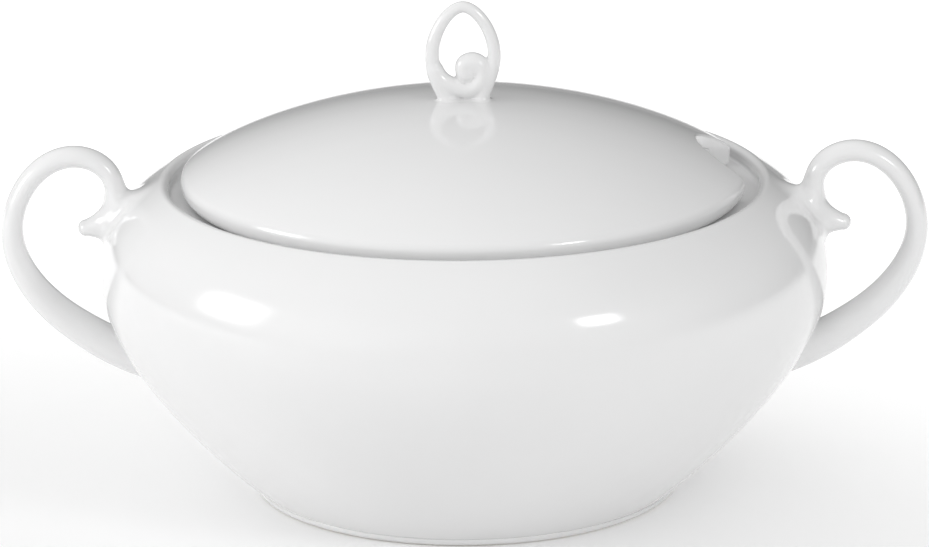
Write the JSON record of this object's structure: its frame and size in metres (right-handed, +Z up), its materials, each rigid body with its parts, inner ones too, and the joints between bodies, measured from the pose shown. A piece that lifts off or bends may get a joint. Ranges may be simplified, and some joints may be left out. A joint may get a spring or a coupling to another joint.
{
  "type": "lidded soup tureen",
  "caption": "Round white porcelain soup tureen with scrolled strap handles and a lift-off domed lid, with an open loop knob and a ladle cut-out in its rim.",
  "frame": {"origin": "centre of the foot ring, on the table", "axes": "+X towards the handle beside the ladle cut-out, along the line of both handles; +Y towards the back; +Z up, along the bowl's axis"},
  "size_m": [0.318, 0.2498, 0.1705],
  "materials": {
    "bowl_glaze": "glossy clear glaze on white porcelain",
    "foot_glaze": "glossy clear glaze, wiped off the band that stands on the table",
    "handle_glaze": "glossy clear glaze on white porcelain",
    "lid_glaze": "glossy clear glaze on white porcelain",
    "flange_glaze": "glossy clear glaze, wiped off the lower edge",
    "knob_glaze": "glossy clear glaze on white porcelain"
  },
  "bodies": {
    "bowl": {"bowl": "bowl_glaze", "foot_ring": "foot_glaze", "handle_left": "handle_glaze", "handle_right": "handle_glaze"},
    "lid": {"lid": "lid_glaze", "lid_flange": "flange_glaze", "knob": "knob_glaze"}
  },
  "joints": [
    {"name": "lid_lift", "type": "slide", "parent": "bowl", "child": "lid", "axis": [0, 0, 1], "range_m": [0, 0.12]}
  ]
}
